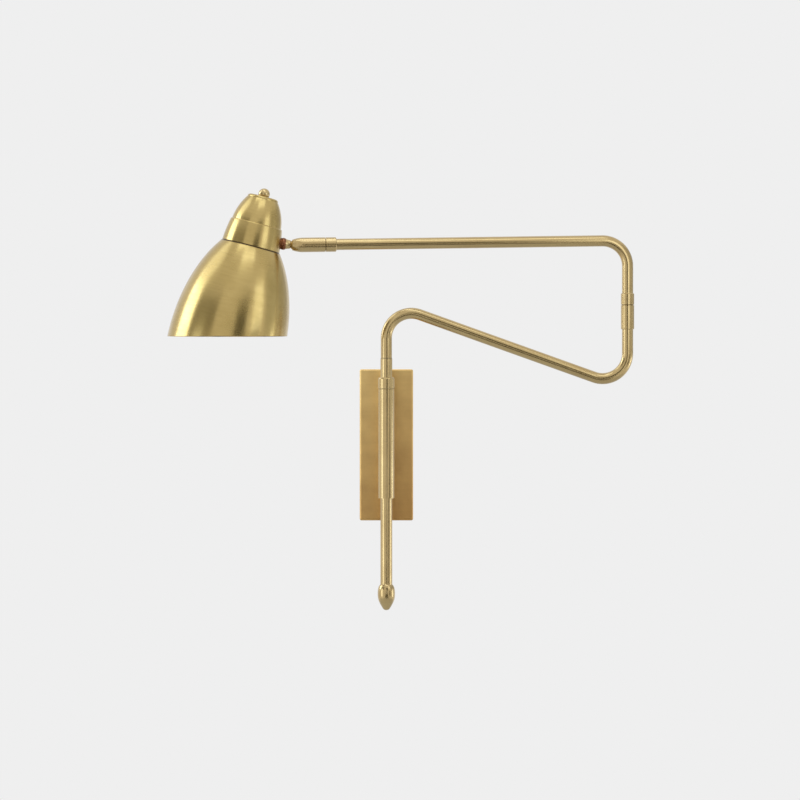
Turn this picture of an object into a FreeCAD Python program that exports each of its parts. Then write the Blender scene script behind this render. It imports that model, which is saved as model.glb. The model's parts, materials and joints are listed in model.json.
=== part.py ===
"""Wall reading lamp in satin brass: wall box, height-adjustable mast, two swinging arms and a
tilting lamp head. Millimetres. The origin is the middle of the wall box's back, on the wall;
the lamp stands out towards -Y, +X is to the right seen from the room and +Z is up."""
import FreeCAD, Part
import math
import os

V = FreeCAD.Vector

# Wall box
BOX_WIDTH = 60.0
BOX_HEIGHT = 170.0
BOX_DEPTH = 22.0
BOX_SHEET = 1.2
BOX_EDGE = 2.0              # rounding of the box's outer edges

# Bracket that is screwed to the wall and holds the box
BRACKET_WIDTH = 30.0
BRACKET_SHEET = 2.0
BRACKET_TONGUE = 14.0       # depth of the turned ends that the box is screwed to
BRACKET_GAP = 0.2           # between the turned ends and the inside of the box
WALL_HOLE_SPACING = 120.0
WALL_HOLE_D = 4.5
CABLE_HOLE_D = 12.0
CABLE_HOLE_Z = -14.0
GROMMET_LIP = 1.6
BOX_SCREW_D = 3.5
BOX_SCREW_HEAD_D = 6.0
BOX_SCREW_HEAD = 1.8
BOX_SCREW_LENGTH = 8.0
SCREW_SLOT = 0.7            # width and depth of the slots in the screw heads

# Terminal block and earth screw on the bracket
BLOCK_WIDTH = 26.0
BLOCK_DEPTH = 13.0
BLOCK_HEIGHT = 18.0
BLOCK_Z = 11.0
BLOCK_WAYS = 3
BLOCK_SCREW_D = 3.2
BLOCK_SCREW_SINK = 3.0
EARTH_X = 9.5
EARTH_Z = 36.0
EARTH_SCREW_D = 4.0
EARTH_HEAD_D = 7.0
EARTH_HEAD = 2.4

# Posts from the box to the mast holder
MAST_OUT = 50.0             # wall to the mast's axis
POST_D = 10.0
POST_THREAD_D = 8.0
POST_THREAD_LENGTH = 8.0
POST_NUT_ACROSS = 13.0
POST_NUT = 3.8
UPPER_POST_Z = 56.0
LOWER_POST_Z = -36.0

# Mast holder: sleeve, collet, clamp ring and lower bush
SLEEVE_D = 18.2
SLEEVE_WALL = 1.1
SLEEVE_LENGTH = 122.3
SLEEVE_TOP = 62.5
BUSH_LENGTH_LOW = 12.0
COLLET_PRESSED = 16.5
COLLET_RISE = 11.0          # how far the collet stands above the sleeve
COLLET_CONE = 3.5
COLLET_CONE_DROP = 0.7      # how much the cone closes over its length
COLLET_SLOT = 0.8
CLAMP_D = 18.8
CLAMP_HEIGHT = 12.7
CLAMP_GAP = 0.4             # groove between the sleeve and the clamp ring
CLAMP_EDGE = 1.6
RUN_FIT = 0.05              # radial clearance of everything that turns or slides

# Mast
STEM_D = 13.5
STEM_WALL = 1.1
STEM_TOP = 97.0
STEM_BOTTOM = -156.3
STEM_SLOT = 6.0             # width of the slot that the flex enters by
RISE = 90.0                 # travel of the mast above its place here
DROP = 12.0                 # travel below it
FINIAL_D = 19.6
FINIAL_LENGTH = 29.0
FINIAL_LIP = 0.2            # step out from the mast at its top
FINIAL_LINE = ((1.0, 0.32), (0.93, 0.58), (0.69, 0.77), (0.4, 0.93))    # shares of radius and length
FINIAL_PLUG = 10.0

# Arms, bent from half-inch tube
ARM_D = 12.7
ARM_WALL = 1.0
BEND_RADIUS = 28.0
LOWER_ARM_PEAK = 159.4      # height where the lower arm's straight runs would meet
LOWER_ARM_FOOT = 62.6       # the same at the elbow
ELBOW_X = 270.4
ELBOW_Z = 156.75            # top of the lower arm's upright end
UPPER_ARM_CORNER = 229.2
UPPER_ARM_DROOP = 0.86      # degrees
UPPER_ARM_TURN = 5.0        # degrees the upper arm stands out from the wall
BALL_REACH = 373.7          # from the elbow's axis to the middle of the ball

# Swivels, alike at the mast, the elbow and the head
WASHER = 0.5
PIN_D = 7.9
PIN_PLUG = 14.0
BUSH_LENGTH = 12.0
NUT_LENGTH = 4.0
NUT_D = 10.0
NUT_NOTCH = 1.2             # for the key that turns the nut inside the tube
FLEX_D = 5.0
FLEX_BORE_D = 5.4
FLEX_CLEARANCE = 0.2        # beside a length of flex that another piece slides or turns past
SPIGOT_EDGE = 0.8

# Collars over the arm's ends
ELBOW_COLLAR_D = 15.0
ELBOW_LOWER_COLLAR = 27.3
ELBOW_UPPER_COLLAR = 13.0
HEAD_COLLAR_D = 16.5
HEAD_COLLAR = 11.9

# Ball joint
BALL_D = 12.4
BALL_FLEX = 0.8             # how far inside the ball the head's flex begins
SOCKET_LENGTH = 37.0
SOCKET_BORE_D = 13.8
SOCKET_NOSE = 12.0
NOSE_MIDDLE = 0.42          # share of the nose where it has drawn in by the next value
NOSE_DRAW = 0.75
MOUTH_D = 10.6
MOUTH_LIP = 0.7
SEAT_BACK = 2.75
SEAT_BORE_D = 6.4
SEAT_EDGE = 2.6             # height of the seat's rim above the middle of the ball
CUP_SPRINGS = 8
CUP_SHEET = 0.8
CUP_CLEARANCE = 0.2         # beside the bore and round the nut
NECK_D = 7.8                # where it leaves the ball
NECK_MOUTH_D = 10.0         # once it is clear of the socket's mouth
NECK_MOUTH = 6.0            # from the middle of the ball to there
NECK_END_D = 12.0
NECK_WAIST = 0.25           # how far the neck draws in between the mouth and its end
NECK_LENGTH = 10.9          # from the middle of the ball to the copper ring
NECK_LEAN = 5.5             # degrees that the neck rises towards the head
STUD_D = 8.0
STUD_SPARE = 1.0            # thread that stands past the nut
COPPER_D = 13.6
COPPER_BULGE = 0.7
COPPER_LENGTH = 5.1
STUD_NUT_ACROSS = 13.0
STUD_NUT = 3.6

# Lamp head: the cap above the seam, the shade below it
HEAD_LEAN = 14.4            # degrees that the head's top leans to the right
NECK_RISE = 6.7             # where the neck's line meets the head's axis, above the seam
SHELL_WALL = 1.0
SEAM_EDGE = 0.5
CAP_D = 66.0
CAP_BAND_D = 59.4           # at the top of the lower band
CAP_BAND = 25.0             # height of the lower band
CAP_STEP = 1.5              # radius of the rolled shoulder by which the dome steps in above the band
CAP_TOP_D = 35.0
CAP_HEIGHT = 57.6
CAP_TOP_EDGE = 3.0
CAP_BULGE = 0.5
BALL_NUT_D = 13.0
BALL_NUT_HEIGHT = 9.4
SHADE_D = 131.2
SHADE_TOP_D = 67.2
SHADE_WIDEST = 110.0        # how far below the seam the shade is widest
SHADE_SWEEP = 141.0         # half height of the ellipse that the shade follows
SHADE_DEPTH = 103.5         # on the axis, from the seam to the level mouth
SHADE_HOLE_D = 40.0

# Lamp holder and bulb
HOLDER_D = 34.0
HOLDER_TOP = 34.0
HOLDER_CHAMFER = 3.0
HOLDER_SHOULDER_D = 48.0
HOLDER_SHOULDER = 2.5
HOLDER_SKIRT_D = 39.6
HOLDER_SKIRT = 16.0
HOLDER_CAVITY_D = 29.0
HOLDER_FLOOR = 14.5
BOSS_REACH = 23.0
BOSS_WIDTH = 9.0
BOSS_HEIGHT = 8.0
SHADE_RING_D = 52.0
SHADE_RING = 6.0
GRIP_DEPTH = 0.6            # grooves round the ring, for the fingers
GRIP_WIDTH = 2.4
SHELL_SLEEVE_WALL = 0.5
SHELL_SLEEVE = 23.0
CONTACT_D = 8.0
CONTACT = 1.0
NIPPLE_D = 10.0
NIPPLE_BORE_D = 7.0
NIPPLE_GRIP = 6.0           # thread inside the holder and inside the ball nut
BULB_CAP_D = 26.4
BULB_CAP_WALL = 0.4
BULB_CAP_DEEP = 2.0         # how far the cap ends inside the holder's skirt
BULB_CAP_SHOULDER = 5.0     # height of the tapered end of the bulb's cap
BULB_TIP_D = 9.0
BULB_TIP = 1.4
BULB_TIP_EDGE = 1.0
BULB_D = 45.0
BULB_NECK_D = 24.0
BULB_SHOULDER = 52.0        # degrees above its middle where the ball turns into the neck
BULB_GLASS = 1.0
BULB_LENGTH = 49.0          # of the glass that shows


ARC_MIDDLE = 1 - math.sqrt(0.5)     # from a square corner to its rounding's middle, for a radius of 1


def outline(start, *steps):
    """Closed face in the XZ plane. A step is an (x, z) point, or a pair of them for an arc."""
    first = V(start[0], 0, start[1])
    here = first
    edges = []
    for step in steps:
        if isinstance(step[0], tuple):
            via = V(step[0][0], 0, step[0][1])
            end = V(step[1][0], 0, step[1][1])
            edges.append(Part.Arc(here, via, end).toShape())
        else:
            end = V(step[0], 0, step[1])
            edges.append(Part.makeLine(here, end))
        here = end
    if here.distanceToPoint(first) > 1e-6:
        edges.append(Part.makeLine(here, first))
    return Part.Face(Part.Wire(edges))


def turned(start, *steps):
    """Solid turned about the Z axis from an outline."""
    return outline(start, *steps).revolve(V(0, 0, 0), V(0, 0, 1), 360)


def tube(outer_d, inner_d, low, high):
    return turned((inner_d / 2, low), (outer_d / 2, low), (outer_d / 2, high), (inner_d / 2, high))


def rod(diameter, low, high):
    return Part.makeCylinder(diameter / 2, high - low, V(0, 0, low))


def along_y(diameter, start, end, z):
    """Cylinder from Y = -start out to Y = -end."""
    return Part.makeCylinder(diameter / 2, end - start, V(0, -start, z), V(0, -1, 0))


def hexagon(across, low, high):
    radius = across / math.sqrt(3)
    corners = [V(radius * math.cos(math.radians(60 * i)), radius * math.sin(math.radians(60 * i)), low)
               for i in range(7)]
    return Part.Face(Part.makePolygon(corners)).extrude(V(0, 0, high - low))


def moved(shape, turn, move):
    """Copy turned about the Y axis by turn degrees and then moved."""
    copy = shape.copy()
    copy.rotate(V(0, 0, 0), V(0, 1, 0), turn)
    copy.translate(move)
    return copy


def on_mast(shape):
    """Copy of a shape drawn about the Z axis, set on the mast's axis."""
    return moved(shape, 0, V(0, -MAST_OUT, 0))


def on_upper_arm(shape):
    """Copy of a shape drawn in the mast's plane, swung out with the upper arm."""
    copy = shape.copy()
    copy.rotate(V(ELBOW_X, 0, 0), V(0, 0, 1), UPPER_ARM_TURN)
    return on_mast(copy)


def bent_rod(points, diameter, radii):
    """Round rod along straight runs with an arc of its own radius at each corner."""
    edges = []
    here = points[0]
    for before, corner, after, radius in zip(points, points[1:], points[2:], radii):
        way_in = (corner - before).normalize()
        way_out = (after - corner).normalize()
        turn = way_in.getAngle(way_out)
        run = radius * math.tan(turn / 2)
        start = corner - way_in * run
        end = corner + way_out * run
        inward = (way_out - way_in).normalize()
        middle = corner + inward * (radius / math.cos(turn / 2) - radius)
        edges.append(Part.makeLine(here, start))
        edges.append(Part.Arc(start, middle, end).toShape())
        here = end
    edges.append(Part.makeLine(here, points[-1]))
    circle = Part.makeCircle(diameter / 2, points[0], points[1] - points[0])
    return Part.Wire(edges).makePipe(Part.Face(Part.Wire(circle)))


# Places that several pieces share
stem_bore_d = STEM_D - 2 * STEM_WALL
arm_bore_d = ARM_D - 2 * ARM_WALL
sleeve_bore_d = SLEEVE_D - 2 * SLEEVE_WALL
sleeve_bottom = SLEEVE_TOP - SLEEVE_LENGTH
stem_guide_d = STEM_D + 2 * RUN_FIT
pin_drop = BUSH_LENGTH + NUT_LENGTH
droop = math.radians(UPPER_ARM_DROOP)
ball = V(ELBOW_X - BALL_REACH, 0, UPPER_ARM_CORNER - BALL_REACH * math.tan(droop))
mouth_back = math.sqrt((BALL_D / 2 + RUN_FIT) ** 2 - (MOUTH_D / 2) ** 2)
socket_end = SOCKET_LENGTH - mouth_back
arm_way = V(math.cos(droop), 0, math.sin(droop))
arm_end = ball + arm_way * (socket_end + WASHER)

lower_arm_route = [V(0, 0, STEM_TOP + WASHER), V(0, 0, LOWER_ARM_PEAK),
                   V(ELBOW_X, 0, LOWER_ARM_FOOT), V(ELBOW_X, 0, ELBOW_Z)]
upper_arm_route = [V(ELBOW_X, 0, ELBOW_Z + WASHER), V(ELBOW_X, 0, UPPER_ARM_CORNER), arm_end]


def along_arm(shape):
    """Copy of a shape drawn about Z from the ball's middle, laid along the upper arm."""
    return on_upper_arm(moved(shape, 90 - UPPER_ARM_DROOP, ball))


# Head shapes, drawn about the head's own axis with the seam at Z = 0
def cap_solid(inset):
    """Solid inside the cap's surface, or inside its inner surface when inset is the wall."""
    band = CAP_D / 2 - inset
    band_top = CAP_BAND_D / 2 - inset
    dome = band_top - CAP_STEP
    top = CAP_TOP_D / 2 - inset
    high = CAP_HEIGHT - inset
    band_high = CAP_BAND - inset
    step_high = band_high + CAP_STEP
    shoulder = CAP_STEP * ARC_MIDDLE
    edge = CAP_TOP_EDGE * ARC_MIDDLE
    return turned((0, 0), (band, 0),
                  (((band + band_top) / 2 + CAP_BULGE, band_high / 2), (band_top, band_high)),
                  ((band_top - shoulder, step_high - shoulder), (dome, step_high)),
                  (((dome + top) / 2 + 3 * CAP_BULGE, (step_high + high) / 2), (top, high - CAP_TOP_EDGE)),
                  ((top - edge, high - edge), (top - CAP_TOP_EDGE, high)),
                  (0, high))


def shade_curve(inset):
    """Outer or inner line of the shade: an arc of an ellipse, from the seam down past the mouth."""
    share = math.sqrt(1 - (SHADE_WIDEST / SHADE_SWEEP) ** 2)
    spread = (SHADE_D - SHADE_TOP_D) / 2 / (1 - share)
    middle = V(SHADE_D / 2 - spread, 0, -SHADE_WIDEST)
    tall = middle + V(0, 0, SHADE_SWEEP - inset)
    wide = middle + V(spread - inset, 0, 0)
    ellipse = Part.Ellipse(tall, wide, middle)
    top = math.acos(SHADE_WIDEST / (SHADE_SWEEP - inset))
    return ellipse, top, top + math.pi / 2


cap_outer = cap_solid(0)
cap_inner = cap_solid(SHELL_WALL)
neck_line = math.radians(HEAD_LEAN - NECK_LEAN)
neck_way = V(math.cos(neck_line), 0, math.sin(neck_line))
neck_foot = V(0, 0, NECK_RISE)


def reach_to(solid):
    """Distance along the neck's line from the head's axis to a turned solid's surface."""
    line = Part.makeLine(neck_foot, neck_foot + neck_way * CAP_D)
    return line.common(solid).Length


cap_wall_out = reach_to(cap_outer)
cap_wall_in = reach_to(cap_inner)
ball_from_axis = cap_wall_out + COPPER_LENGTH + NECK_LENGTH
ball_in_head = neck_foot + neck_way * ball_from_axis


def along_neck(shape):
    """Copy of a shape drawn about Z from the ball's middle, laid along the neck in the head."""
    return moved(shape, -90 - math.degrees(neck_line), ball_in_head)


def on_head(shape):
    """Copy of a shape drawn about the head's axis, hung at the ball."""
    hung = moved(shape, HEAD_LEAN, V(0, 0, 0))
    offset = moved(Part.Vertex(ball_in_head), HEAD_LEAN, V(0, 0, 0)).Point
    return on_upper_arm(moved(hung, 0, ball - offset))


# Wall group
def wall_bracket():
    half = BOX_HEIGHT / 2 - BOX_SHEET - BRACKET_GAP
    left = -BRACKET_WIDTH / 2
    bracket = Part.makeBox(BRACKET_WIDTH, BRACKET_SHEET, 2 * half, V(left, -BRACKET_SHEET, -half))
    for low in (-half, half - BRACKET_SHEET):
        tongue = Part.makeBox(BRACKET_WIDTH, BRACKET_TONGUE, BRACKET_SHEET, V(left, -BRACKET_TONGUE, low))
        bracket = bracket.fuse(tongue)
    bracket = bracket.removeSplitter()
    for z in (-WALL_HOLE_SPACING / 2, WALL_HOLE_SPACING / 2):
        bracket = bracket.cut(along_y(WALL_HOLE_D, 0, BRACKET_SHEET, z))
    bracket = bracket.cut(along_y(CABLE_HOLE_D, 0, BRACKET_SHEET, CABLE_HOLE_Z))
    earth = along_y(EARTH_SCREW_D, 0, BRACKET_SHEET, EARTH_Z)
    earth.translate(V(EARTH_X, 0, 0))
    screw_way = Part.makeCylinder(BOX_SCREW_D / 2, BOX_HEIGHT, V(0, -BOX_DEPTH / 2, -BOX_HEIGHT / 2))
    return bracket.cut(earth).cut(screw_way)


def wall_plate():
    box = Part.makeBox(BOX_WIDTH, BOX_DEPTH, BOX_HEIGHT, V(-BOX_WIDTH / 2, -BOX_DEPTH, -BOX_HEIGHT / 2))
    edges = [e for e in box.Edges if max(v.Point.y for v in e.Vertexes) < -BOX_DEPTH + 1e-6
             or abs(e.Vertexes[0].Point.y - e.Vertexes[1].Point.y) > 1e-6]
    box = box.makeFillet(BOX_EDGE, edges)
    room = Part.makeBox(BOX_WIDTH - 2 * BOX_SHEET, BOX_DEPTH - BOX_SHEET, BOX_HEIGHT - 2 * BOX_SHEET,
                        V(-BOX_WIDTH / 2 + BOX_SHEET, -BOX_DEPTH + BOX_SHEET, -BOX_HEIGHT / 2 + BOX_SHEET))
    inner = [e for e in room.Edges if max(v.Point.y for v in e.Vertexes) < -BOX_DEPTH + BOX_SHEET + 1e-6
             or abs(e.Vertexes[0].Point.y - e.Vertexes[1].Point.y) > 1e-6]
    box = box.cut(room.makeFillet(BOX_EDGE - BOX_SHEET, inner))
    for z in (UPPER_POST_Z, LOWER_POST_Z):
        box = box.cut(along_y(POST_THREAD_D, BOX_DEPTH - BOX_SHEET, BOX_DEPTH, z))
    screw_way = Part.makeCylinder(BOX_SCREW_D / 2, BOX_HEIGHT, V(0, -BOX_DEPTH / 2, -BOX_HEIGHT / 2))
    return box.cut(screw_way)


def plate_screws():
    screw = rod(BOX_SCREW_HEAD_D, 0, BOX_SCREW_HEAD)
    crown = [e for e in screw.Edges if e.BoundBox.ZMin > BOX_SCREW_HEAD - 1e-6]
    screw = screw.makeFillet(BOX_SCREW_HEAD / 2, crown)
    slot = Part.makeBox(BOX_SCREW_HEAD_D, SCREW_SLOT, SCREW_SLOT,
                        V(-BOX_SCREW_HEAD_D / 2, -SCREW_SLOT / 2, BOX_SCREW_HEAD - SCREW_SLOT))
    screw = screw.cut(slot).fuse(rod(BOX_SCREW_D, -BOX_SCREW_LENGTH, 0)).removeSplitter()
    top = moved(screw, 0, V(0, -BOX_DEPTH / 2, BOX_HEIGHT / 2))
    bottom = moved(screw, 180, V(0, -BOX_DEPTH / 2, -BOX_HEIGHT / 2))
    return Part.makeCompound([top, bottom])


def cable_grommet():
    lip_d = CABLE_HOLE_D + 2 * GROMMET_LIP
    bore_d = CABLE_HOLE_D - 2 * GROMMET_LIP
    body = turned((bore_d / 2, 0), (CABLE_HOLE_D / 2, 0), (CABLE_HOLE_D / 2, BRACKET_SHEET),
                  (lip_d / 2, BRACKET_SHEET), (lip_d / 2, BRACKET_SHEET + GROMMET_LIP),
                  (bore_d / 2, BRACKET_SHEET + GROMMET_LIP))
    body.rotate(V(0, 0, 0), V(1, 0, 0), 90)
    body.translate(V(0, 0, CABLE_HOLE_Z))
    return body


def terminal_block():
    low = BLOCK_Z - BLOCK_HEIGHT / 2
    block = Part.makeBox(BLOCK_WIDTH, BLOCK_DEPTH, BLOCK_HEIGHT,
                         V(-BLOCK_WIDTH / 2, -BRACKET_SHEET - BLOCK_DEPTH, low))
    for x, z in block_screw_places():
        well = along_y(BLOCK_SCREW_D, BRACKET_SHEET + BLOCK_DEPTH - BLOCK_SCREW_SINK,
                       BRACKET_SHEET + BLOCK_DEPTH, z)
        well.translate(V(x, 0, 0))
        block = block.cut(well)
    return block


def block_screw_places():
    """Two rows of screws, one pair for each way of the block."""
    pitch = BLOCK_WIDTH / BLOCK_WAYS
    return [((way - (BLOCK_WAYS - 1) / 2) * pitch, BLOCK_Z + side * BLOCK_HEIGHT / 4)
            for way in range(BLOCK_WAYS) for side in (-1, 1)]


def terminal_screws():
    front = BRACKET_SHEET + BLOCK_DEPTH
    screws = []
    for x, z in block_screw_places():
        screw = along_y(BLOCK_SCREW_D, front - BLOCK_SCREW_SINK, front - SCREW_SLOT, z)
        slot = Part.makeBox(BLOCK_SCREW_D, SCREW_SLOT, SCREW_SLOT,
                            V(-BLOCK_SCREW_D / 2, SCREW_SLOT - front, z - SCREW_SLOT / 2))
        screw = screw.cut(slot)
        screw.translate(V(x, 0, 0))
        screws.append(screw)
    return Part.makeCompound(screws)


def earth_screw():
    screw = along_y(EARTH_SCREW_D, 0, BRACKET_SHEET, EARTH_Z)
    head = along_y(EARTH_HEAD_D, BRACKET_SHEET, BRACKET_SHEET + EARTH_HEAD, EARTH_Z)
    slot = Part.makeBox(EARTH_HEAD_D, SCREW_SLOT, SCREW_SLOT,
                        V(-EARTH_HEAD_D / 2, -BRACKET_SHEET - EARTH_HEAD, EARTH_Z - SCREW_SLOT / 2))
    screw = screw.fuse(head).removeSplitter().cut(slot)
    screw.translate(V(EARTH_X, 0, 0))
    return screw


def post(z):
    """Post with a shoulder on the box, a thread through it and a saddle for the mast sleeve."""
    shank = along_y(POST_THREAD_D, BOX_DEPTH - POST_THREAD_LENGTH, BOX_DEPTH, z)
    body = along_y(POST_D, BOX_DEPTH, MAST_OUT, z)
    around = on_mast(rod(SLEEVE_D, z - POST_D, z + POST_D))
    return shank.fuse(body).removeSplitter().cut(around)


def flex_way():
    """Bore for the flex through the upper post and the wall of the mast sleeve."""
    return along_y(FLEX_BORE_D, 0, MAST_OUT, UPPER_POST_Z)


def upper_post():
    return post(UPPER_POST_Z).cut(flex_way())


def lower_post():
    return post(LOWER_POST_Z)


def post_nuts():
    nut = hexagon(POST_NUT_ACROSS, 0, POST_NUT).cut(rod(POST_THREAD_D, 0, POST_NUT))
    nut.rotate(V(0, 0, 0), V(1, 0, 0), 90)
    nut.translate(V(0, -(BOX_DEPTH - BOX_SHEET - POST_NUT), 0))
    return Part.makeCompound([moved(nut, 0, V(0, 0, z)) for z in (UPPER_POST_Z, LOWER_POST_Z)])


# Mast holder
def holder_sleeve():
    sleeve = tube(SLEEVE_D, sleeve_bore_d, sleeve_bottom, SLEEVE_TOP)
    return on_mast(sleeve).cut(flex_way())


def lower_bush():
    return on_mast(tube(sleeve_bore_d, stem_guide_d, sleeve_bottom, sleeve_bottom + BUSH_LENGTH_LOW))


def collet_body():
    thread_d = sleeve_bore_d - 2 * RUN_FIT
    cone_low = SLEEVE_TOP + COLLET_RISE - COLLET_CONE
    top = SLEEVE_TOP + COLLET_RISE
    low = SLEEVE_TOP - COLLET_PRESSED
    collet = turned((stem_guide_d / 2, low), (sleeve_bore_d / 2, low), (sleeve_bore_d / 2, SLEEVE_TOP),
                    (thread_d / 2, SLEEVE_TOP), (thread_d / 2, cone_low),
                    (thread_d / 2 - COLLET_CONE_DROP, top), (stem_guide_d / 2, top))
    slot_low = SLEEVE_TOP + 2 * COLLET_SLOT
    for turn in (0, 90):
        slot = Part.makeBox(SLEEVE_D, COLLET_SLOT, top - slot_low,
                            V(-SLEEVE_D / 2, -COLLET_SLOT / 2, slot_low))
        slot.rotate(V(0, 0, 0), V(0, 0, 1), turn + 45)
        collet = collet.cut(slot)
    return on_mast(collet).cut(flex_way())


def clamp_ring():
    bore = sleeve_bore_d / 2
    low = SLEEVE_TOP + CLAMP_GAP
    top = low + CLAMP_HEIGHT
    cone_low = SLEEVE_TOP + COLLET_RISE - COLLET_CONE
    cone_high = SLEEVE_TOP + COLLET_RISE
    outer = CLAMP_D / 2
    edge = CLAMP_EDGE * ARC_MIDDLE
    ring = turned((bore, low), (outer - SPIGOT_EDGE / 2, low), (outer, low + SPIGOT_EDGE / 2),
                  (outer, top - CLAMP_EDGE),
                  ((outer - edge, top - edge), (outer - CLAMP_EDGE, top)),
                  (STEM_D / 2 + 4 * RUN_FIT, top), (STEM_D / 2 + 4 * RUN_FIT, cone_high + RUN_FIT),
                  (bore - COLLET_CONE_DROP, cone_high), (bore, cone_low))
    return on_mast(ring)


# Mast
def stem_tube():
    stem = tube(STEM_D, stem_bore_d, STEM_BOTTOM, STEM_TOP)
    half = STEM_SLOT / 2
    low = UPPER_POST_Z - RISE - half
    high = UPPER_POST_Z + DROP + half
    slot = Part.makeBox(STEM_SLOT, STEM_D, high - low, V(-half, 0, low))
    ends = [e for e in slot.Edges if abs(e.Vertexes[0].Point.y - e.Vertexes[1].Point.y) > 1e-6]
    return on_mast(stem.cut(slot.makeFillet(half - RUN_FIT, ends)))


def stem_finial():
    radius = FINIAL_D / 2
    low = STEM_BOTTOM - FINIAL_LENGTH
    lip = V(STEM_D / 2 + FINIAL_LIP, 0, STEM_BOTTOM)
    line = Part.BSplineCurve()
    line.interpolate([lip] + [V(radius * wide, 0, STEM_BOTTOM - down * FINIAL_LENGTH)
                              for wide, down in FINIAL_LINE] + [V(0, 0, low)],
                     InitialTangent=V(1, 0, -1), FinalTangent=V(-1, 0, -0.12))
    edges = [line.toShape(), Part.makeLine(V(0, 0, low), V(0, 0, STEM_BOTTOM)),
             Part.makeLine(V(0, 0, STEM_BOTTOM), lip)]
    acorn = Part.Face(Part.Wire(edges)).revolve(V(0, 0, 0), V(0, 0, 1), 360)
    plug = rod(stem_bore_d, STEM_BOTTOM, STEM_BOTTOM + FINIAL_PLUG)
    return on_mast(acorn.fuse(plug).removeSplitter())


# Swivel pieces, drawn with the top of the carrying tube at Z = 0
def swivel_bush(bore_d):
    return tube(bore_d, PIN_D + 2 * RUN_FIT, -BUSH_LENGTH, 0)


def swivel_washer():
    return tube(ARM_D, PIN_D + 2 * RUN_FIT, 0, WASHER)


def swivel_pin():
    return turned((FLEX_BORE_D / 2, -pin_drop), (PIN_D / 2, -pin_drop), (PIN_D / 2, WASHER),
                  (arm_bore_d / 2, WASHER), (arm_bore_d / 2, WASHER + PIN_PLUG),
                  (FLEX_BORE_D / 2, WASHER + PIN_PLUG))


def swivel_nut():
    nut = tube(NUT_D, PIN_D, -pin_drop, -BUSH_LENGTH)
    notch = Part.makeBox(NUT_D, NUT_NOTCH, NUT_NOTCH, V(-NUT_D / 2, -NUT_NOTCH / 2, -pin_drop))
    return nut.cut(notch)


def at_mast_top(shape):
    return on_mast(moved(shape, 0, V(0, 0, STEM_TOP)))


def at_elbow(shape):
    return moved(shape, 0, V(ELBOW_X, -MAST_OUT, ELBOW_Z))


def at_head_swivel(shape):
    return along_arm(moved(shape, 0, V(0, 0, socket_end)))


# Arms
def lower_arm():
    radii = [BEND_RADIUS, BEND_RADIUS]
    outer = bent_rod(lower_arm_route, ARM_D, radii)
    return on_mast(outer.cut(bent_rod(lower_arm_route, arm_bore_d, radii)))


def upper_arm():
    outer = bent_rod(upper_arm_route, ARM_D, [BEND_RADIUS])
    return on_upper_arm(outer.cut(bent_rod(upper_arm_route, arm_bore_d, [BEND_RADIUS])))


def collar(outer_d, low, high, low_edge, high_edge):
    """Sleeve over an arm's end, with each outer edge eased by its own amount."""
    return turned((ARM_D / 2, low), (outer_d / 2 - low_edge, low), (outer_d / 2, low + low_edge),
                  (outer_d / 2, high - high_edge), (outer_d / 2 - high_edge, high), (ARM_D / 2, high))


def elbow_lower_collar():
    return at_elbow(collar(ELBOW_COLLAR_D, -ELBOW_LOWER_COLLAR, 0, SPIGOT_EDGE, SPIGOT_EDGE / 4))


def elbow_upper_collar():
    return at_elbow(collar(ELBOW_COLLAR_D, WASHER, WASHER + ELBOW_UPPER_COLLAR,
                           SPIGOT_EDGE / 4, SPIGOT_EDGE))


def head_collar():
    return at_head_swivel(collar(HEAD_COLLAR_D, WASHER, WASHER + HEAD_COLLAR,
                                 SPIGOT_EDGE / 4, SPIGOT_EDGE))


# Ball joint, drawn about Z from the ball's middle with the arm upwards
def ball_socket():
    seat = BALL_D / 2 + RUN_FIT
    outer = HEAD_COLLAR_D / 2
    mouth = MOUTH_D / 2
    nose_low = -mouth_back
    middle = math.radians(20)
    return along_arm(turned(
        (mouth, nose_low), (mouth + MOUTH_LIP, nose_low),
        ((outer - NOSE_DRAW, nose_low + NOSE_MIDDLE * SOCKET_NOSE), (outer, nose_low + SOCKET_NOSE)),
        (outer, socket_end - SPIGOT_EDGE / 4), (outer - SPIGOT_EDGE / 4, socket_end),
        (SOCKET_BORE_D / 2, socket_end), (SOCKET_BORE_D / 2, 0), (seat, 0),
        ((seat * math.cos(middle), -seat * math.sin(middle)), (mouth, nose_low))))


def ball_seat():
    seat = BALL_D / 2 + RUN_FIT
    low = SEAT_EDGE
    radius = SOCKET_BORE_D / 2 - RUN_FIT
    bore = SEAT_BORE_D / 2
    edge = math.sqrt(seat ** 2 - low ** 2)
    bore_low = math.sqrt(seat ** 2 - bore ** 2)
    lean = (math.asin(low / seat) + math.asin(bore_low / seat)) / 2
    return along_arm(turned((edge, low), (radius, low), (radius, seat + SEAT_BACK), (bore, seat + SEAT_BACK),
                            (bore, bore_low),
                            ((seat * math.cos(lean), seat * math.sin(lean)), (edge, low))))


def cup_springs():
    """Stack of cup springs that presses the seat on the ball."""
    low = BALL_D / 2 + RUN_FIT + SEAT_BACK
    pitch = (socket_end - BUSH_LENGTH - low) / CUP_SPRINGS
    rise = pitch - CUP_SHEET - RUN_FIT
    inner = NUT_D / 2 + CUP_CLEARANCE
    outer = SOCKET_BORE_D / 2 - CUP_CLEARANCE
    cups = []
    for count in range(CUP_SPRINGS):
        base = low + count * pitch
        inner_low = base + rise * (count % 2)
        outer_low = base + rise * (1 - count % 2)
        cup = turned((inner, inner_low), (outer, outer_low), (outer, outer_low + CUP_SHEET),
                     (inner, inner_low + CUP_SHEET))
        cups.append(along_arm(cup))
    return Part.makeCompound(cups)


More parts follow.
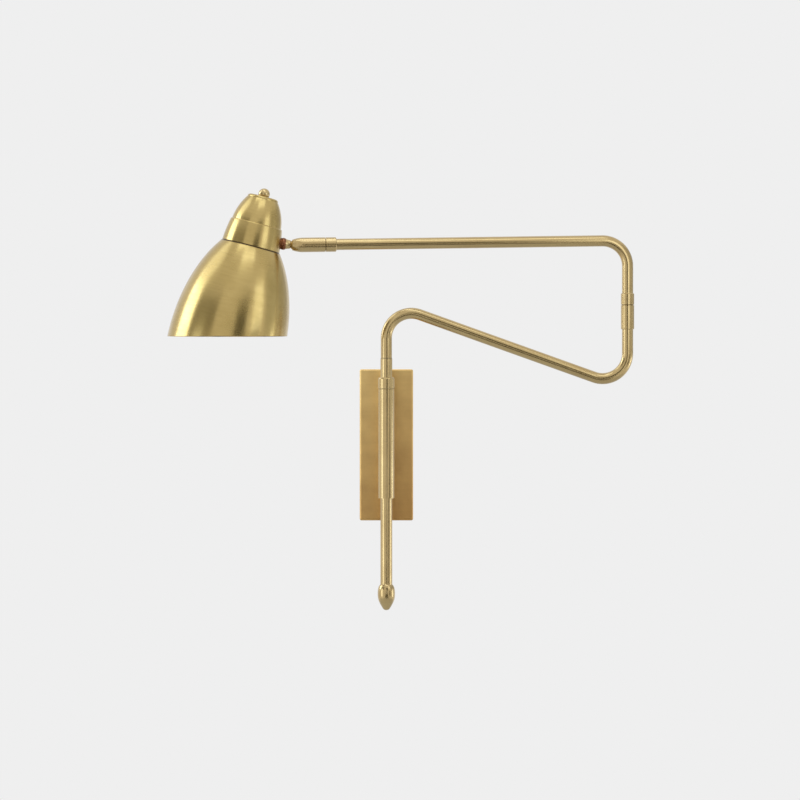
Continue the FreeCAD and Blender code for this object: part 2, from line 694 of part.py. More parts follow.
def ball_stud():
    """Hollow ball and neck with a thread that passes through the cap's wall."""
    radius = BALL_D / 2
    bore = FLEX_BORE_D / 2
    neck = NECK_D / 2
    back = -math.sqrt(radius ** 2 - bore ** 2)
    front = math.sqrt(radius ** 2 - neck ** 2)
    end = NECK_LENGTH + COPPER_LENGTH + (cap_wall_out - cap_wall_in) + STUD_NUT + STUD_SPARE
    waist = ((NECK_MOUTH_D + NECK_END_D) / 4 - NECK_WAIST, (NECK_MOUTH + NECK_LENGTH) / 2)
    return along_neck(turned(
        (bore, back), ((radius, 0), (neck, front)), (NECK_MOUTH_D / 2, NECK_MOUTH),
        (waist, (NECK_END_D / 2, NECK_LENGTH)),
        (STUD_D / 2, NECK_LENGTH), (STUD_D / 2, end), (bore, end)))


def copper_ring():
    """Convex ring between the neck and the cap, its end shaped to the cap's wall."""
    low = NECK_LENGTH
    high = NECK_LENGTH + COPPER_LENGTH + 2 * SHELL_WALL
    rim = COPPER_D / 2 - COPPER_BULGE
    ring = turned((STUD_D / 2, low), (rim, low),
                  ((COPPER_D / 2, low + COPPER_LENGTH / 2), (rim, low + COPPER_LENGTH)),
                  (rim, high), (STUD_D / 2, high))
    return along_neck(ring).cut(cap_outer)


def stud_nut():
    low = NECK_LENGTH + COPPER_LENGTH
    high = NECK_LENGTH + COPPER_LENGTH + (cap_wall_out - cap_wall_in) + STUD_NUT
    nut = hexagon(STUD_NUT_ACROSS, low, high).cut(rod(STUD_D, low, high))
    return along_neck(nut).common(cap_inner)


# Head
def cap_shell():
    stud_way = along_neck(rod(STUD_D, 0, NECK_LENGTH + COPPER_LENGTH + 2 * STUD_NUT))
    cap = cap_outer.cut(cap_inner).cut(stud_way)
    cap = cap.cut(rod(NIPPLE_D, CAP_HEIGHT - 2 * SHELL_WALL, CAP_HEIGHT))
    rim = [e for e in cap.Edges if abs(e.BoundBox.ZMax) < 1e-6 and e.BoundBox.XMax > CAP_D / 2 - 1e-3]
    return cap.makeFillet(SEAM_EDGE, rim)


def shade():
    """Bell from the seam to a mouth that is level when the head leans as it does here."""
    flange = SHADE_TOP_D / 2
    outer, outer_top, outer_end = shade_curve(0)
    inner, inner_top, inner_end = shade_curve(SHELL_WALL)
    outer_arc = Part.ArcOfEllipse(outer, outer_top, outer_end).toShape()
    inner_arc = Part.ArcOfEllipse(inner, inner_top, inner_end).toShape()

    def bell(arc):
        top = max((v.Point for v in arc.Vertexes), key=lambda p: p.z)
        end = min((v.Point for v in arc.Vertexes), key=lambda p: p.z)
        foot = V(0, 0, end.z)
        peak = V(0, 0, top.z)
        wire = Part.Wire([arc, Part.makeLine(end, foot), Part.makeLine(foot, peak), Part.makeLine(peak, top)])
        return Part.Face(wire).revolve(V(0, 0, 0), V(0, 0, 1), 360)

    room = bell(inner_arc).cut(rod(3 * flange, -SHELL_WALL, SHELL_WALL))
    body = bell(outer_arc).cut(room)
    seam = [e for e in body.Edges if abs(e.BoundBox.ZMin) < 1e-6 and e.BoundBox.XMax > flange - 1e-3]
    body = body.makeFillet(SEAM_EDGE, seam)
    size = 4 * SHADE_D
    below = Part.makeBox(size, size, size, V(-size / 2, -size / 2, -size))
    below.rotate(V(0, 0, 0), V(0, 1, 0), -HEAD_LEAN)
    below.translate(V(0, 0, -SHADE_DEPTH))
    return body.cut(below).cut(rod(SHADE_HOLE_D, -2 * SHELL_WALL, SHELL_WALL))


def cap_nipple():
    low = HOLDER_TOP - NIPPLE_GRIP
    return tube(NIPPLE_D, NIPPLE_BORE_D, low, CAP_HEIGHT + NIPPLE_GRIP)


def ball_nut():
    """Ball finial, cut flat where it sits on the cap, over the end of the nipple."""
    radius = BALL_NUT_D / 2
    middle = CAP_HEIGHT + BALL_NUT_HEIGHT - radius
    sphere = Part.makeSphere(radius, V(0, 0, middle))
    knob = sphere.common(rod(2 * BALL_NUT_D, CAP_HEIGHT, CAP_HEIGHT + 2 * radius))
    return knob.cut(rod(NIPPLE_D, CAP_HEIGHT, CAP_HEIGHT + NIPPLE_GRIP))


def lamp_holder():
    shoulder = HOLDER_SHOULDER_D / 2
    body = turned((HOLDER_CAVITY_D / 2, -HOLDER_SKIRT), (HOLDER_SKIRT_D / 2, -HOLDER_SKIRT),
                  (HOLDER_SKIRT_D / 2, 0), (shoulder, 0), (shoulder, HOLDER_SHOULDER),
                  (HOLDER_D / 2, HOLDER_SHOULDER), (HOLDER_D / 2, HOLDER_TOP - HOLDER_CHAMFER),
                  (HOLDER_D / 2 - HOLDER_CHAMFER, HOLDER_TOP), (0, HOLDER_TOP), (0, HOLDER_FLOOR),
                  (HOLDER_CAVITY_D / 2, HOLDER_FLOOR))
    boss = Part.makeBox(BOSS_REACH - HOLDER_D / 4, BOSS_WIDTH, BOSS_HEIGHT,
                        V(HOLDER_D / 4, -BOSS_WIDTH / 2, HOLDER_TOP - HOLDER_CHAMFER - BOSS_HEIGHT))
    return body.fuse(boss).removeSplitter().cut(rod(NIPPLE_D, HOLDER_TOP - NIPPLE_GRIP, HOLDER_TOP))


def holder_shell():
    inner_d = HOLDER_CAVITY_D - 2 * SHELL_SLEEVE_WALL
    return tube(HOLDER_CAVITY_D, inner_d, HOLDER_FLOOR - SHELL_SLEEVE, HOLDER_FLOOR)


def centre_contact():
    return rod(CONTACT_D, HOLDER_FLOOR - CONTACT, HOLDER_FLOOR)


def shade_ring():
    ring = tube(SHADE_RING_D, HOLDER_SKIRT_D, -SHELL_WALL - SHADE_RING, -SHELL_WALL)
    for turn in range(0, 360, 20):
        grip = Part.makeBox(2 * GRIP_DEPTH, GRIP_WIDTH, 0.75 * SHADE_RING,
                            V(SHADE_RING_D / 2 - GRIP_DEPTH, -GRIP_WIDTH / 2, -SHELL_WALL - SHADE_RING))
        grip.rotate(V(0, 0, 0), V(0, 0, 1), turn)
        ring = ring.cut(grip)
    return ring


bulb_tip_top = HOLDER_FLOOR - CONTACT
bulb_cap_top = bulb_tip_top - BULB_TIP
bulb_cap_low = -HOLDER_SKIRT + BULB_CAP_DEEP


def bulb_cap():
    radius = BULB_CAP_D / 2
    wall = BULB_CAP_WALL
    tip = BULB_TIP_D / 2
    return turned((radius - wall, bulb_cap_low), (radius, bulb_cap_low),
                  (radius, bulb_cap_top - BULB_CAP_SHOULDER), (tip, bulb_cap_top), (tip - wall, bulb_cap_top),
                  (radius - wall, bulb_cap_top - BULB_CAP_SHOULDER - wall))


def bulb_tip():
    tip = BULB_TIP_D / 2 - BULB_CAP_WALL
    edge = BULB_TIP_EDGE
    return turned((0, bulb_cap_top - edge), (tip - edge, bulb_cap_top - edge), (tip, bulb_cap_top),
                  (tip - edge, bulb_tip_top), (0, bulb_tip_top))


def bulb_glass():
    """Round frosted bulb, hollow, with its neck cemented in the cap."""
    radius = BULB_D / 2
    low = bulb_cap_low - BULB_LENGTH
    middle = low + radius
    neck = BULB_NECK_D / 2
    join = math.radians(BULB_SHOULDER)

    def line(inset):
        ball_r = radius - inset
        start = (ball_r * math.cos(join), middle + ball_r * math.sin(join))
        return [((ball_r * math.cos(join / 2), middle + ball_r * math.sin(join / 2)), (ball_r, middle)),
                ((ball_r * math.sqrt(0.5), middle - ball_r * math.sqrt(0.5)), (0, middle - ball_r))], start

    outer, outer_start = line(0)
    inner, inner_start = line(BULB_GLASS)
    top = bulb_cap_low + BULB_TIP
    outside = turned((0, top), (neck, top), (neck, bulb_cap_low - BULB_TIP), outer_start, *outer)
    hollow = neck - BULB_GLASS
    inside = turned((0, top), (hollow, top), (hollow, bulb_cap_low - BULB_TIP), inner_start, *inner)
    return outside.cut(inside)


# Flex, in lengths that meet end to end on the axes of the joints, and in the mast's slot where it
# slides: there the mast's length ends inside the bore that guides the mast
flex_meet = math.sqrt((stem_guide_d / 2 - FLEX_CLEARANCE) ** 2 - (FLEX_D / 2) ** 2)


def flex(points, radii):
    return bent_rod(points, FLEX_D, radii)


def wall_flex():
    bend = BOX_DEPTH - POST_THREAD_LENGTH - BRACKET_SHEET - BLOCK_DEPTH / 2
    back = BRACKET_SHEET + BLOCK_DEPTH / 2
    return flex([V(0, -back, BLOCK_Z + BLOCK_HEIGHT / 2), V(0, -back, UPPER_POST_Z),
                 V(0, flex_meet - MAST_OUT, UPPER_POST_Z)], [bend])


def stem_flex():
    return on_mast(flex([V(0, 0, STEM_TOP - pin_drop), V(0, 0, UPPER_POST_Z), V(0, flex_meet, UPPER_POST_Z)],
                        [FLEX_D]))


def lower_arm_flex():
    route = [V(0, 0, STEM_TOP - pin_drop)] + lower_arm_route[1:-1] + [V(ELBOW_X, 0, ELBOW_Z - pin_drop)]
    return on_mast(flex(route, [BEND_RADIUS, BEND_RADIUS]))


def upper_arm_flex():
    stop = ball + arm_way * (BALL_D / 2 + SEAT_BACK / 3)
    route = [V(ELBOW_X, 0, ELBOW_Z - pin_drop), upper_arm_route[1], stop]
    return on_upper_arm(flex(route, [BEND_RADIUS]))


def head_flex():
    inside = BOSS_REACH - FLEX_D / 2 - FLEX_CLEARANCE
    start = ball_in_head + neck_way * (BALL_D / 2 - BALL_FLEX)
    corner = V(inside, 0, NECK_RISE + inside * math.tan(neck_line))
    boss_low = HOLDER_TOP - HOLDER_CHAMFER - BOSS_HEIGHT
    return flex([start, corner, V(inside, 0, boss_low)], [FLEX_D])


PARTS = {
    "wall_bracket": wall_bracket(),
    "wall_plate": wall_plate(),
    "plate_screws": plate_screws(),
    "cable_grommet": cable_grommet(),
    "terminal_block": terminal_block(),
    "terminal_screws": terminal_screws(),
    "earth_screw": earth_screw(),
    "upper_post": upper_post(),
    "lower_post": lower_post(),
    "post_nuts": post_nuts(),
    "holder_sleeve": holder_sleeve(),
    "lower_bush": lower_bush(),
    "collet_body": collet_body(),
    "clamp_ring": clamp_ring(),
    "stem_tube": stem_tube(),
    "stem_finial": stem_finial(),
    "mast_bush": at_mast_top(swivel_bush(stem_bore_d)),
    "mast_washer": at_mast_top(swivel_washer()),
    "mast_pin": at_mast_top(swivel_pin()),
    "mast_nut": at_mast_top(swivel_nut()),
    "lower_arm": lower_arm(),
    "elbow_lower_collar": elbow_lower_collar(),
    "elbow_bush": at_elbow(swivel_bush(arm_bore_d)),
    "elbow_washer": at_elbow(swivel_washer()),
    "elbow_pin": at_elbow(swivel_pin()),
    "elbow_nut": at_elbow(swivel_nut()),
    "elbow_upper_collar": elbow_upper_collar(),
    "upper_arm": upper_arm(),
    "head_collar": head_collar(),
    "head_bush": at_head_swivel(swivel_bush(SOCKET_BORE_D)),
    "head_washer": at_head_swivel(swivel_washer()),
    "head_pin": at_head_swivel(swivel_pin()),
    "head_nut": at_head_swivel(swivel_nut()),
    "ball_socket": ball_socket(),
    "ball_seat": ball_seat(),
    "cup_springs": cup_springs(),
    "ball_stud": on_head(ball_stud()),
    "copper_ring": on_head(copper_ring()),
    "stud_nut": on_head(stud_nut()),
    "cap_shell": on_head(cap_shell()),
    "cap_nipple": on_head(cap_nipple()),
    "ball_nut": on_head(ball_nut()),
    "shade": on_head(shade()),
    "shade_ring": on_head(shade_ring()),
    "lamp_holder": on_head(lamp_holder()),
    "holder_shell": on_head(holder_shell()),
    "centre_contact": on_head(centre_contact()),
    "bulb_cap": on_head(bulb_cap()),
    "bulb_tip": on_head(bulb_tip()),
    "bulb_glass": on_head(bulb_glass()),
    "wall_flex": wall_flex(),
    "stem_flex": stem_flex(),
    "lower_arm_flex": lower_arm_flex(),
    "upper_arm_flex": upper_arm_flex(),
    "head_flex": on_head(head_flex()),
}

os.makedirs("parts", exist_ok=True)
for name, shape in PARTS.items():
    shape.exportStep("parts/" + name + ".step")

elbow = V(ELBOW_X, -MAST_OUT, ELBOW_Z)
ball_here = on_upper_arm(Part.Vertex(ball)).Point
arm_here = on_upper_arm(Part.Vertex(ball + arm_way)).Point - ball_here
print("elbow", elbow, "ball", ball_here, "arm way", arm_here)
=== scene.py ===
import json
import math

import bpy
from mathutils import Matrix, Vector


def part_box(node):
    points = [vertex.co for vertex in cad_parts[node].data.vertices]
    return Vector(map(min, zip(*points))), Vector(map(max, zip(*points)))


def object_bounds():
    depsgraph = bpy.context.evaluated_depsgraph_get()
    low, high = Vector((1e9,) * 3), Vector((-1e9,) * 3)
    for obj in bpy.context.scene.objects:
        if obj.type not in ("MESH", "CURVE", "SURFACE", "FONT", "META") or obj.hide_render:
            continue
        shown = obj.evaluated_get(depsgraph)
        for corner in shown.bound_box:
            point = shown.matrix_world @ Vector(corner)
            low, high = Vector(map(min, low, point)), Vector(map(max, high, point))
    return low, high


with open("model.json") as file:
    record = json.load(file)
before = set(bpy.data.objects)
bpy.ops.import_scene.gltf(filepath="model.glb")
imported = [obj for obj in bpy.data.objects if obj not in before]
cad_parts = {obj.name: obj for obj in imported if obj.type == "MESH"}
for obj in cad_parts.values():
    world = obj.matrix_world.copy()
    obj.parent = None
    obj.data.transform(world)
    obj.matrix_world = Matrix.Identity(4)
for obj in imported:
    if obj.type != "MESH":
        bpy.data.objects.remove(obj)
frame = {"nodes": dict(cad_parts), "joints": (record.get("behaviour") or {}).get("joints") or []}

cad_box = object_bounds()
nodes = frame["nodes"]


# ---- Camera ----------------------------------------------------------------------------------
# The lamp is seen square to the wall from far off through a long lens, so that its level lines
# stay level and the parts near the wall are not smaller than those that stand out from it.
picture_width = 0.896        # metres that the picture takes in at the lamp
picture_middle = Vector((0.0153, -0.06, 0.0504))
lens = 400.0
film = 36.0

camera_data = bpy.data.cameras.new("camera")
camera_data.lens = lens
camera_data.sensor_width = film
camera_data.clip_end = 100.0
camera = bpy.data.objects.new("camera", camera_data)
camera.location = picture_middle - Vector((0, picture_width * lens / film, 0))
camera.rotation_euler = (math.radians(90), 0, 0)
bpy.context.scene.collection.objects.link(camera)
bpy.context.scene.camera = camera


# ---- Wall bracket, nuts and the head's hidden ironmongery --------------------------------------
# Pressed from steel strip and zinc plated, then screwed to the wall. The post nuts, cup springs,
# stud nut and nipple are plated alike. Zinc is a dull grey to the eye, with a faint crystal bloom.
zinc_light = "#B4B5B2"
zinc_dark = "#92938F"
zinc_bloom = 3.0             # mm across one patch of the bloom


def linear(code):
    """An sRGB hex colour as the linear values that a socket takes."""
    shares = [int(code[i:i + 2], 16) / 255 for i in (1, 3, 5)]
    return [s / 12.92 if s <= 0.04045 else ((s + 0.055) / 1.055) ** 2.4 for s in shares] + [1.0]


def add(tree, kind, sockets=None, **settings):
    """Adds a node, with its settings, and with its sockets set to a value or linked to a socket."""
    node = tree.nodes.new("ShaderNode" + kind)
    for name, value in settings.items():
        setattr(node, name, value)
    for name, value in (sockets or {}).items():
        if isinstance(value, bpy.types.NodeSocket):
            tree.links.new(value, node.inputs[name])
        else:
            node.inputs[name].default_value = value
    return node


def new_material(name, **fixed):
    """A new material, its node tree and its shader, with what is the same all over already set."""
    made = bpy.data.materials.new(name)
    made.use_nodes = True
    shader = made.node_tree.nodes["Principled BSDF"]
    for socket, value in fixed.items():
        shader.inputs[socket.replace("_", " ")].default_value = value
    return made, made.node_tree, shader


def finish(material, *names):
    """Gives the named CAD pieces their material."""
    for name in names:
        for place in nodes[name].material_slots:
            place.material = material


def mottled(name, light, dark, size, low, high, bump, **fixed):
    """A surface whose tone and roughness drift between two values in patches; size, bump in mm."""
    made, tree, shader = new_material(name, **fixed)
    place = add(tree, "TexCoord").outputs["Object"]
    cloud = add(tree, "TexNoise", {"Vector": place, "Scale": 1000 / size, "Detail": 4.0})
    tone = add(tree, "MixRGB", {"Fac": cloud.outputs["Fac"], "Color1": linear(dark),
                                "Color2": linear(light)})
    rough = add(tree, "MapRange", {"Value": cloud.outputs["Fac"], "To Min": low, "To Max": high})
    relief = add(tree, "Bump", {"Height": cloud.outputs["Fac"], "Distance": bump / 1000, "Strength": 1.0})
    tree.links.new(tone.outputs["Color"], shader.inputs["Base Color"])
    tree.links.new(rough.outputs["Result"], shader.inputs["Roughness"])
    tree.links.new(relief.outputs["Normal"], shader.inputs["Normal"])
    return made


zinc_plated_steel = mottled("zinc_plated_steel", zinc_light, zinc_dark, zinc_bloom, 0.34, 0.5, 0.01,
                            Metallic=1.0)
finish(zinc_plated_steel, "wall_bracket", "post_nuts", "cup_springs", "stud_nut", "cap_nipple")


# ---- Grommet, terminal block and flex ----------------------------------------------------------
# The grommet is moulded rubber pressed into the bracket, the block is cream nylon, and the flex is
# round black cable. All are dull, with the fine grain of the mould or of the extruded sheath.
moulded_rubber = mottled("moulded_rubber", "#2B2A29", "#201F1F", 1.5, 0.6, 0.75, 0.03)
moulded_nylon = mottled("moulded_nylon", "#E6E0D0", "#DCD5C3", 2.0, 0.42, 0.55, 0.02)
extruded_pvc = mottled("extruded_pvc", "#2E2D2C", "#252423", 2.5, 0.4, 0.55, 0.02)
black_nylon = mottled("black_nylon", "#272625", "#1D1C1C", 1.5, 0.4, 0.5, 0.02)
finish(moulded_rubber, "cable_grommet")
finish(moulded_nylon, "terminal_block")
finish(extruded_pvc, "wall_flex", "stem_flex", "lower_arm_flex", "upper_arm_flex", "head_flex")
finish(black_nylon, "mast_washer", "elbow_washer", "head_washer", "ball_seat")


# ---- Wall box ----------------------------------------------------------------------------------
# Folded from brass sheet, rubbed to a satin and left to tone down by hand and air, so that it is
# browner and more clouded than the turned parts. Rubbing leaves faint level lines across it. Painted
# shade makes it darker and browner towards the lower right, away from the light on the left.
plate_light = "#F2CF87"
plate_dark = "#DFBC7A"
plate_patch = 26.0           # mm across one cloud of tone
plate_line = 2.2             # mm between rubbing lines, drawn about ten times as coarse as they are
line_share = 0.3             # how much of the tone of brass comes from its lines, the rest from clouds
plate_line_share = 0.14
line_depth = 8e-7            # metres
plate_shade_tone = "#D6C3B0"     # painted shade: what the brass is darkened by at its most shaded corner
plate_shade_reach = 100.0        # mm from the box's middle to the lightest and the most shaded corners


def brushed_brass(name, light, dark, patch, line, axis, low, high, wave=0.0, pull=0.0,
                  share=line_share, lacquer=0.25):
    """Brass with clouds of tone and fine lines round an axis: patch, line and wave in mm.

    Roughness runs from low to high. wave is how far the surface swells, pull stretches the gloss
    across the lines, as the grooves of a spun surface do, and lacquer is how whole the coat is.
    """
    made, tree, shader = new_material(name, Metallic=1.0, Coat_Weight=lacquer, Coat_Roughness=0.16,
                                      Anisotropic=pull)
    place = add(tree, "TexCoord").outputs["Object"]
    upright = Vector(axis).rotation_difference(Vector((0, 0, 1))).to_euler()
    along = add(tree, "Mapping", {"Vector": place, "Rotation": upright})
    thin = add(tree, "Mapping", {"Vector": along.outputs["Vector"], "Scale": (0.04, 0.04, 1.0)})
    lines = add(tree, "TexNoise", {"Vector": thin.outputs["Vector"], "Scale": 1000 / line,
                                   "Detail": 3.0, "Roughness": 0.6})
    cloud = add(tree, "TexNoise", {"Vector": place, "Scale": 1000 / patch, "Detail": 3.0})
    both = add(tree, "MixRGB", {"Fac": share, "Color1": cloud.outputs["Fac"],
                                "Color2": lines.outputs["Fac"]})
    spread = add(tree, "MapRange", {"Value": both.outputs["Color"], "From Min": 0.34, "From Max": 0.66})
    tone = add(tree, "MixRGB", {"Fac": spread.outputs["Result"], "Color1": linear(dark),
                                "Color2": linear(light)})
    rough = add(tree, "MapRange", {"Value": both.outputs["Color"], "From Min": 0.3, "From Max": 0.7,
                                   "To Min": high, "To Max": low})
    relief = add(tree, "Bump", {"Height": lines.outputs["Fac"], "Distance": line_depth, "Strength": 1.0})
    normal = relief.outputs["Normal"]
    if wave:
        swell = add(tree, "TexNoise", {"Vector": place, "Scale": 1000 / (2 * patch), "Detail": 1.0})
        normal = add(tree, "Bump", {"Height": swell.outputs["Fac"], "Distance": wave / 1000,
                                    "Strength": 1.0, "Normal": normal}).outputs["Normal"]
    if pull:
        outward = add(tree, "NewGeometry").outputs["Normal"]
        turned = add(tree, "VectorTransform", {"Vector": Vector(axis)}, vector_type="VECTOR",
                     convert_from="OBJECT", convert_to="WORLD")
        round_it = add(tree, "VectorMath", {0: turned.outputs["Vector"], 1: outward},
                       operation="CROSS_PRODUCT")
        across = add(tree, "VectorMath", {0: outward, 1: round_it.outputs["Vector"]},
                     operation="CROSS_PRODUCT")
        tree.links.new(across.outputs["Vector"], shader.inputs["Tangent"])
    tree.links.new(tone.outputs["Color"], shader.inputs["Base Color"])
    tree.links.new(rough.outputs["Result"], shader.inputs["Roughness"])
    tree.links.new(normal, shader.inputs["Normal"])
    return made


def reach(tree, way):
    """How far a point lies along a way, in metres."""
    place = add(tree, "TexCoord").outputs["Object"]
    return add(tree, "VectorMath", {0: place, 1: way}, operation="DOT_PRODUCT").outputs["Value"]


def lay_over(made, share, colour, blend):
    """Blends a colour into the tone that a material already has, by a share from a socket."""
    tree = made.node_tree
    tone = tree.nodes["Principled BSDF"].inputs["Base Color"]
    blended = add(tree, "MixRGB", {"Fac": share, "Color1": tone.links[0].from_socket,
                                   "Color2": linear(colour)}, blend_type=blend)
    tree.links.new(blended.outputs["Color"], tone)


plumb = (0, 0, 1)
aged_sheet_brass = brushed_brass("aged_sheet_brass", plate_light, plate_dark, plate_patch, plate_line,
                                 plumb, 0.36, 0.46, wave=0.15, share=plate_line_share)
# Painted shade: the box grows darker and browner towards its lower right, away from the light.
down_right = (1, 0, -1)
plate_shade = add(aged_sheet_brass.node_tree, "MapRange",
              {"Value": reach(aged_sheet_brass.node_tree, down_right),
               "From Min": -plate_shade_reach / 1000, "From Max": plate_shade_reach / 1000})
lay_over(aged_sheet_brass, plate_shade.outputs["Result"], plate_shade_tone, "MULTIPLY")
finish(aged_sheet_brass, "wall_plate")


# ---- Mast holder -------------------------------------------------------------------------------
# Sleeve, clamp ring and collet are turned from brass tube and bar, satin polished on the lathe and
# lacquered. Two posts of the same brass hold them off the box. The collet, in the groove under the
# ring, is painted dark brown as painted shade of that groove.
satin_light = "#C6AC74"
satin_dark = "#B89D66"
satin_patch = 22.0           # mm
lathe_line = 1.3             # mm between lathe lines, drawn coarser than they are

turned_brass = brushed_brass("turned_brass", satin_light, satin_dark, satin_patch, lathe_line, plumb,
                             0.2, 0.26, lacquer=1.0)
finish(turned_brass, "holder_sleeve", "clamp_ring", "upper_post", "lower_post", "stem_finial",
       "elbow_lower_collar", "elbow_upper_collar")

# Painted shade: the collet in the groove under the ring is coloured dark brown.
groove_shade_brass = mottled("groove_shade_brass", "#7A6030", "#5A4522", 4.0, 0.4, 0.5, 0.01, Metallic=1.0)
finish(groove_shade_brass, "collet_body")

# Screws, pins, nuts and bushes are bright brass from the bar lathe, glossy and even.
bar_brass = brushed_brass("bar_brass", "#D0B175", "#BF9F63", 8.0, 1.0, plumb, 0.16, 0.24)
finish(bar_brass, "plate_screws", "earth_screw", "terminal_screws", "lower_bush", "mast_bush",
       "elbow_bush", "head_bush", "mast_pin", "elbow_pin", "head_pin", "mast_nut",
       "elbow_nut", "head_nut", "holder_shell", "centre_contact", "bulb_tip")


# ---- Mast and arms -----------------------------------------------------------------------------
# Drawn brass tube: the mast is straight, and both arms are bent cold round a former. They are
# polished lengthwise with a belt, so that the gloss runs in clean straight streaks.
drawn_brass = brushed_brass("drawn_brass", satin_light, satin_dark, 40.0, 6.0, plumb, 0.2, 0.25,
                            lacquer=1.0)
finish(drawn_brass, "stem_tube", "lower_arm", "upper_arm")


# ---- Ball joint --------------------------------------------------------------------------------
# The socket and its collar are turned brass in line with the arm. The hollow stud comes out of the
# socket's nose, and a ring of polished copper closes the joint against the cap.
arm_joint = next(j for j in frame["joints"] if j["name"] == "head_spin")
arm_way = Vector(arm_joint["axis"])
level_turned_brass = brushed_brass("level_turned_brass", satin_light, satin_dark, satin_patch, lathe_line,
                                   arm_way, 0.22, 0.3, lacquer=1.0)
finish(level_turned_brass, "head_collar", "ball_socket", "ball_stud")

polished_copper = brushed_brass("polished_copper", "#8F5A3A", "#6E4328", 5.0, 1.0, arm_way, 0.2, 0.3)
finish(polished_copper, "copper_ring")


# ---- Lamp head ---------------------------------------------------------------------------------
# Cap and shade are spun from brass sheet over a former and satin polished as they turn. Spinning
# leaves fine rings round the axis, which pull the gloss into streaks from the top to the mouth.
# A thin brown line of painted shade lies along the seam between them.
seam_shade_tone = "#5E4A28"
seam_shade_width = 1.2              # mm of painted shade each side of the seam, drawn wider than it is
head_lean = math.radians(14.4)
arm_turn = math.radians(5)
lean_way = Vector((math.cos(arm_turn), math.sin(arm_turn), 0))
head_axis = lean_way * math.sin(head_lean) + Vector(plumb) * math.cos(head_lean)
seam_height = min(point.co.dot(head_axis) for point in nodes["cap_shell"].data.vertices)
spun_brass = brushed_brass("spun_brass", "#C4AB6D", "#B2995C", 30.0, 1.6, head_axis, 0.22, 0.3,
                           wave=0.25, pull=0.6)
tree = spun_brass.node_tree
# Painted shade along the seam between cap and shade, blended in by the distance from the seam.
above = add(tree, "Math", {0: reach(tree, head_axis), 1: seam_height}, operation="SUBTRACT")
away = add(tree, "Math", {0: above.outputs["Value"]}, operation="ABSOLUTE")
seam_shade = add(tree, "MapRange", {"Value": away.outputs["Value"], "From Min": seam_shade_width / 2000,
                               "From Max": seam_shade_width / 1000, "To Min": 1.0, "To Max": 0.0})
lay_over(spun_brass, seam_shade.outputs["Result"], seam_shade_tone, "MIX")
finish(spun_brass, "cap_shell", "shade")
finish(turned_brass, "ball_nut")


# ---- Lamp holder and bulb ----------------------------------------------------------------------
# The holder and its ring are pressed from black phenolic. The bulb is a small round one of opal
# glass, with a rolled aluminium cap.
pressed_phenolic = mottled("pressed_phenolic", "#2C2723", "#1E1A17", 4.0, 0.28, 0.38, 0.01)
rolled_aluminium = mottled("rolled_aluminium", "#C9C9C6", "#B6B6B2", 3.0, 0.3, 0.4, 0.01, Metallic=1.0)
opal_glass = mottled("opal_glass", "#F1EFE8", "#EBE8DF", 18.0, 0.16, 0.22, 0.0, Coat_Weight=0.6)
finish(pressed_phenolic, "lamp_holder", "shade_ring")
finish(rolled_aluminium, "bulb_cap")
finish(opal_glass, "bulb_glass")


# ---- Studio ------------------------------------------------------------------------------------
# A pale room with a pale floor below the lamp. Softboxes on the left, on the right and above draw the
# bright streaks down the brass, dark felt in front gives it its darks, and sheets of paper at the
# sides set how bright it is between. The room itself only fills in the shadows.
room_colour = "#EFEFEF"
daylight = "#E7F3FF"         # the softboxes are a little cooler than the room
room_fill = 0.55             # how bright the room is as a light, against how bright it is seen
floor_middle = -0.1          # metres out from the wall
floor_drop = 0.3             # metres below the lamp's lowest point
floor_fade = (0.7, 1.15)     # metres from its middle between which the floor melts away

world = bpy.data.worlds.new("room")
world.use_nodes = True
bpy.context.scene.world = world
room = world.node_tree
back = room.nodes["Background"]
rays = add(room, "LightPath").outputs
seen = add(room, "Math", {0: rays["Is Camera Ray"], 1: rays["Is Glossy Ray"]}, operation="MAXIMUM")
seen = add(room, "Math", {0: seen.outputs["Value"], 1: rays["Is Transmission Ray"]}, operation="MAXIMUM")
power = add(room, "MapRange", {"Value": seen.outputs["Value"], "To Min": room_fill, "To Max": 1.0})
back.inputs["Color"].default_value = linear(room_colour)
room.links.new(power.outputs["Result"], back.inputs["Strength"])


def flat_piece(name, width, height, material):
    """Flat board in its own XY plane, split into squares so that it is a mesh of even faces."""
    steps = 12               # squares along each side
    corners = [((i / steps - 0.5) * width, (j / steps - 0.5) * height, 0)
               for j in range(steps + 1) for i in range(steps + 1)]
    row = steps + 1
    faces = [(j * row + i, j * row + i + 1, (j + 1) * row + i + 1, (j + 1) * row + i)
             for j in range(steps) for i in range(steps)]
    mesh = bpy.data.meshes.new(name)
    mesh.from_pydata(corners, [], faces)
    mesh.materials.append(material)
    board = bpy.data.objects.new(name, mesh)
    bpy.context.scene.collection.objects.link(board)
    return board


painted_floor, tree, shader = new_material("painted_floor", Roughness=0.9)
shader.inputs["Base Color"].default_value = linear(room_colour)
place = add(tree, "TexCoord").outputs["Object"]
away = add(tree, "VectorMath", {0: place}, operation="LENGTH")
gone = add(tree, "MapRange", {"Value": away.outputs["Value"], "From Min": floor_fade[0],
                              "From Max": floor_fade[1]}, interpolation_type="SMOOTHSTEP")
clear = add(tree, "BsdfTransparent")
both = add(tree, "MixShader", {0: gone.outputs["Result"], 1: shader.outputs["BSDF"],
                               2: clear.outputs["BSDF"]})
tree.links.new(both.outputs["Shader"], tree.nodes["Material Output"].inputs["Surface"])
floor = flat_piece("floor", 2 * floor_fade[1], 2 * floor_fade[1], painted_floor)
floor.location = (picture_middle.x, floor_middle, cad_box[0].z - floor_drop)


def facing(thing, aim, azimuth, elevation, distance):
    """Stands a thing at an azimuth from the camera's side, right positive, with its face to the aim."""
    a = math.radians(azimuth)
    e = math.radians(elevation)
    way = Vector((math.sin(a) * math.cos(e), -math.cos(a) * math.cos(e), math.sin(e)))
    thing.location = aim + way * distance
    thing.rotation_euler = way.to_track_quat("Z", "Y").to_euler()


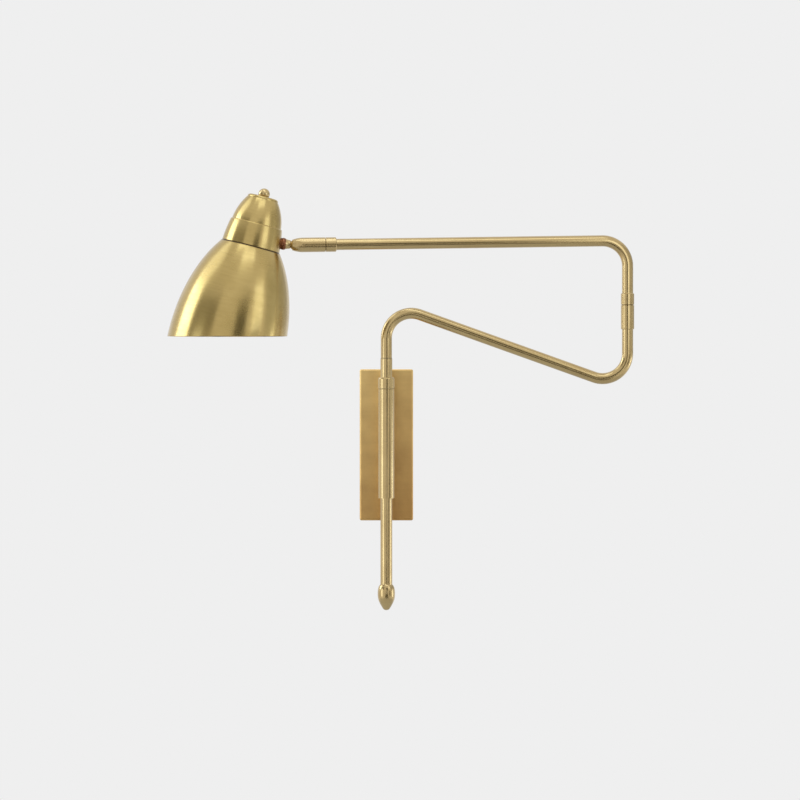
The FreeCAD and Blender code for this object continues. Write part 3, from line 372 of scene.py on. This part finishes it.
def softbox(name, aim, azimuth, elevation, distance, width, height, strength):
    """Soft light whose face has the given strength, where 1 is as bright as white paper."""
    light = bpy.data.lights.new(name, "AREA")
    light.shape = "RECTANGLE"
    light.size = width
    light.size_y = height
    light.energy = strength * math.pi * width * height
    light.color = linear(daylight)[:3]
    box = bpy.data.objects.new(name, light)
    bpy.context.scene.collection.objects.link(box)
    facing(box, aim, azimuth, elevation, distance)
    box.visible_camera = False


def card(name, material, aim, azimuth, elevation, distance, width, height):
    """Matt card that only the lamp's gloss sees."""
    board = flat_piece(name, width, height, material)
    facing(board, aim, azimuth, elevation, distance)
    board.visible_camera = False
    board.visible_diffuse = False
    board.visible_shadow = False
    board.visible_transmission = False


def matt_card(name, colour):
    made, tree, shader = new_material(name, Roughness=1.0)
    shader.inputs["Base Color"].default_value = linear(colour)
    return made


dark_felt = matt_card("dark_felt", "#57534A")
grey_paper = matt_card("grey_paper", "#B0AB9D")
white_paper = matt_card("white_paper", "#F2F0EA")

head_middle = sum(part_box("shade"), Vector()) / 2
mast_middle = sum(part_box("stem_tube"), Vector()) / 2
arm_middle = sum(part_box("upper_arm"), Vector()) / 2

# Each stands round what it is aimed at by its azimuth, elevation and distance. Then come its width
# and height, and for a softbox its strength.
softbox("softbox_left_rear", head_middle, -100, 18, 1.5, 0.8, 0.78, 4.0)
softbox("softbox_left_high", head_middle, -100, 48, 1.5, 0.8, 0.8, 1.1)
softbox("softbox_left_front", mast_middle, -62, 0, 1.6, 0.5, 0.9, 2.0)
softbox("softbox_head_right", head_middle, 53, 10, 0.8, 0.28, 0.4, 1.25)
softbox("softbox_mast_right", mast_middle, 92, -6, 1.2, 0.2, 0.42, 3.4)
softbox("softbox_above", arm_middle, 12, 62, 1.6, 0.8, 0.5, 1.35)
softbox("softbox_head_top", head_middle, 0, 86, 1.3, 0.5, 0.45, 2.2)
card("card_head_front", dark_felt, head_middle, 21, 4, 1.0, 0.36, 0.5)
card("card_arm_front", dark_felt, arm_middle, 0, -28, 1.1, 0.7, 0.35)
card("card_mast_front", dark_felt, mast_middle, 48, -4, 1.7, 0.5, 0.5)
card("card_head_left", grey_paper, head_middle, -56, 20, 1.7, 1.6, 0.8)
card("card_head_right", white_paper, head_middle, 84, 10, 1.0, 0.5, 0.69)
card("card_head_rear", white_paper, head_middle, 122, 10, 1.6, 1.3, 0.8)

bpy.context.scene.view_settings.view_transform = "Standard"
